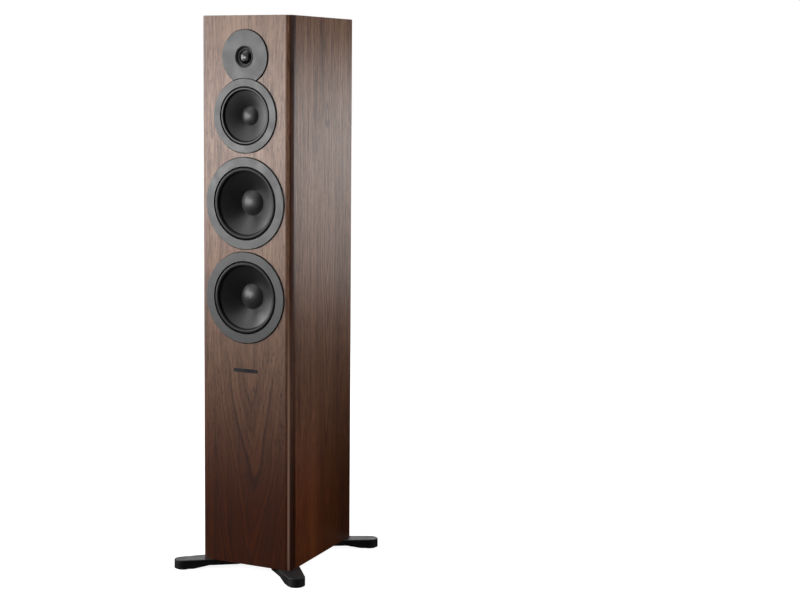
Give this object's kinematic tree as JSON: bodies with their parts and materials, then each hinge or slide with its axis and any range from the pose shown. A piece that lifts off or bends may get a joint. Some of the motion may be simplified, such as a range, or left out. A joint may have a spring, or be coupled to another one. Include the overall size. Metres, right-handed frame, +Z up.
{
  "type": "floorstanding speaker",
  "caption": "Tall tapered walnut loudspeaker with grey-ringed tweeter, midrange and woofers, rear reflex ports, binding posts and outrigger feet with levelling pads.",
  "frame": {"origin": "centre of the footprint, on the floor", "axes": "+Z up, the baffle faces -Y, +X to the right of someone who looks at the front"},
  "size_m": [0.308, 0.382, 1.12],
  "materials": {
    "veneer": "satin walnut veneer",
    "board": "bare fibreboard",
    "trim": "matte grey powder coat",
    "badge": "satin",
    "basket": "black cast",
    "motor": "black plated steel and ferrite",
    "surround": "satin black rubber",
    "spider": "impregnated cotton",
    "cone": "satin black polymer",
    "coil": "enamelled wire on a thin former",
    "dome": "glossy coated cloth",
    "chamber_cup": "moulded",
    "port": "fine matte moulding",
    "terminal": "satin moulding",
    "post_metal": "plated",
    "knob_red": "gloss",
    "knob_black": "gloss",
    "circuit_board": "satin",
    "components": "wound and moulded parts",
    "cable": "matte jacket",
    "screw": "black oxide",
    "foot": "satin black cast alloy",
    "stud": "machined",
    "pad": "matte"
  },
  "bodies": {
    "root": {"front_baffle": "veneer", "left_side_panel": "veneer", "right_side_panel": "veneer", "top_panel": "veneer", "rear_panel": "veneer", "bottom_panel": "board", "window_braces": "board", "midrange_chamber": "board", "tweeter_faceplate": "trim", "midrange_trim_ring": "trim", "woofer_upper_trim_ring": "trim", "woofer_lower_trim_ring": "trim", "badge_plate": "badge", "midrange_basket": "basket", "woofer_upper_basket": "basket", "woofer_lower_basket": "basket", "midrange_motor": "motor", "woofer_upper_motor": "motor", "woofer_lower_motor": "motor", "tweeter_motor": "motor", "midrange_surround": "surround", "woofer_upper_surround": "surround", "woofer_lower_surround": "surround", "tweeter_surround": "surround", "midrange_spider": "spider", "woofer_upper_spider": "spider", "woofer_lower_spider": "spider", "tweeter_rear_chamber": "chamber_cup", "upper_port_tube": "port", "lower_port_tube": "port", "terminal_plate": "terminal", "binding_post_cores": "post_metal", "crossover_board": "circuit_board", "crossover_components": "components", "internal_wiring": "cable", "fixing_screws": "screw", "foot_bolts": "screw", "front_right_foot_arm": "foot", "front_left_foot_arm": "foot", "rear_right_foot_arm": "foot", "rear_left_foot_arm": "foot"},
    "tweeter_diaphragm": {"tweeter_dome": "dome"},
    "midrange_diaphragm": {"midrange_cone": "cone", "midrange_voice_coil": "coil"},
    "woofer_upper_diaphragm": {"woofer_upper_cone": "cone", "woofer_upper_voice_coil": "coil"},
    "woofer_lower_diaphragm": {"woofer_lower_cone": "cone", "woofer_lower_voice_coil": "coil"},
    "positive_clamp_collar": {"positive_collar": "post_metal"},
    "positive_clamp_knob": {"positive_knob": "knob_red"},
    "negative_clamp_collar": {"negative_collar": "post_metal"},
    "negative_clamp_knob": {"negative_knob": "knob_black"},
    "front_right_pad": {"front_right_foot_pad": "pad"},
    "front_right_leveller": {"front_right_foot_stud": "stud"},
    "front_left_pad": {"front_left_foot_pad": "pad"},
    "front_left_leveller": {"front_left_foot_stud": "stud"},
    "rear_right_pad": {"rear_right_foot_pad": "pad"},
    "rear_right_leveller": {"rear_right_foot_stud": "stud"},
    "rear_left_pad": {"rear_left_foot_pad": "pad"},
    "rear_left_leveller": {"rear_left_foot_stud": "stud"}
  },
  "joints": [
    {"name": "woofer_upper_travel", "type": "slide", "parent": "root", "child": "woofer_upper_diaphragm", "axis": [0, -1, 0], "range_m": [-0.006, 0.006], "stiffness_N_per_m": 1200, "deforming": ["woofer_upper_surround", "woofer_upper_spider"]},
    {"name": "woofer_lower_travel", "type": "slide", "parent": "root", "child": "woofer_lower_diaphragm", "axis": [0, -1, 0], "range_m": [-0.006, 0.006], "stiffness_N_per_m": 1200, "deforming": ["woofer_lower_surround", "woofer_lower_spider"]},
    {"name": "midrange_travel", "type": "slide", "parent": "root", "child": "midrange_diaphragm", "axis": [0, -1, 0], "range_m": [-0.003, 0.003], "stiffness_N_per_m": 1500, "deforming": ["midrange_surround", "midrange_spider"]},
    {"name": "tweeter_travel", "type": "slide", "parent": "root", "child": "tweeter_diaphragm", "axis": [0, -1, 0], "range_m": [-0.0004, 0.0004], "stiffness_N_per_m": 3000, "deforming": ["tweeter_surround"]},
    {"name": "negative_knob_turn", "type": "hinge", "parent": "negative_clamp_collar", "child": "negative_clamp_knob", "pos_m": [-0.015, 0.167, 0.27], "axis": [0, 1, 0], "range_deg": [0, 1800]},
    {"name": "negative_collar_slide", "type": "slide", "parent": "root", "child": "negative_clamp_collar", "axis": [0, 1, 0], "range_m": [0, 0.005]},
    {"name": "positive_knob_turn", "type": "hinge", "parent": "positive_clamp_collar", "child": "positive_clamp_knob", "pos_m": [0.015, 0.167, 0.27], "axis": [0, 1, 0], "range_deg": [0, 1800]},
    {"name": "positive_collar_slide", "type": "slide", "parent": "root", "child": "positive_clamp_collar", "axis": [0, 1, 0], "range_m": [0, 0.005]},
    {"name": "front_right_leveller_turn", "type": "hinge", "parent": "front_right_pad", "child": "front_right_leveller", "pos_m": [0.136, -0.173, 0.005], "axis": [0, 0, -1], "range_deg": [0, 1728]},
    {"name": "front_right_pad_slide", "type": "slide", "parent": "root", "child": "front_right_pad", "axis": [0, 0, -1], "range_m": [0, 0.006]},
    {"name": "front_left_leveller_turn", "type": "hinge", "parent": "front_left_pad", "child": "front_left_leveller", "pos_m": [-0.136, -0.173, 0.005], "axis": [0, 0, -1], "range_deg": [0, 1728]},
    {"name": "front_left_pad_slide", "type": "slide", "parent": "root", "child": "front_left_pad", "axis": [0, 0, -1], "range_m": [0, 0.006]},
    {"name": "rear_right_leveller_turn", "type": "hinge", "parent": "rear_right_pad", "child": "rear_right_leveller", "pos_m": [0.103, 0.173, 0.005], "axis": [0, 0, -1], "range_deg": [0, 1728]},
    {"name": "rear_right_pad_slide", "type": "slide", "parent": "root", "child": "rear_right_pad", "axis": [0, 0, -1], "range_m": [0, 0.006]},
    {"name": "rear_left_leveller_turn", "type": "hinge", "parent": "rear_left_pad", "child": "rear_left_leveller", "pos_m": [-0.103, 0.173, 0.005], "axis": [0, 0, -1], "range_deg": [0, 1728]},
    {"name": "rear_left_pad_slide", "type": "slide", "parent": "root", "child": "rear_left_pad", "axis": [0, 0, -1], "range_m": [0, 0.006]}
  ],
  "couplings": [
    {"joint": "negative_knob_turn", "follows": "negative_collar_slide", "rad_per_m": 6283.2},
    {"joint": "positive_knob_turn", "follows": "positive_collar_slide", "rad_per_m": 6283.2},
    {"joint": "front_right_leveller_turn", "follows": "front_right_pad_slide", "rad_per_m": 5026.5},
    {"joint": "front_left_leveller_turn", "follows": "front_left_pad_slide", "rad_per_m": 5026.5},
    {"joint": "rear_right_leveller_turn", "follows": "rear_right_pad_slide", "rad_per_m": 5026.5},
    {"joint": "rear_left_leveller_turn", "follows": "rear_left_pad_slide", "rad_per_m": 5026.5}
  ]
}
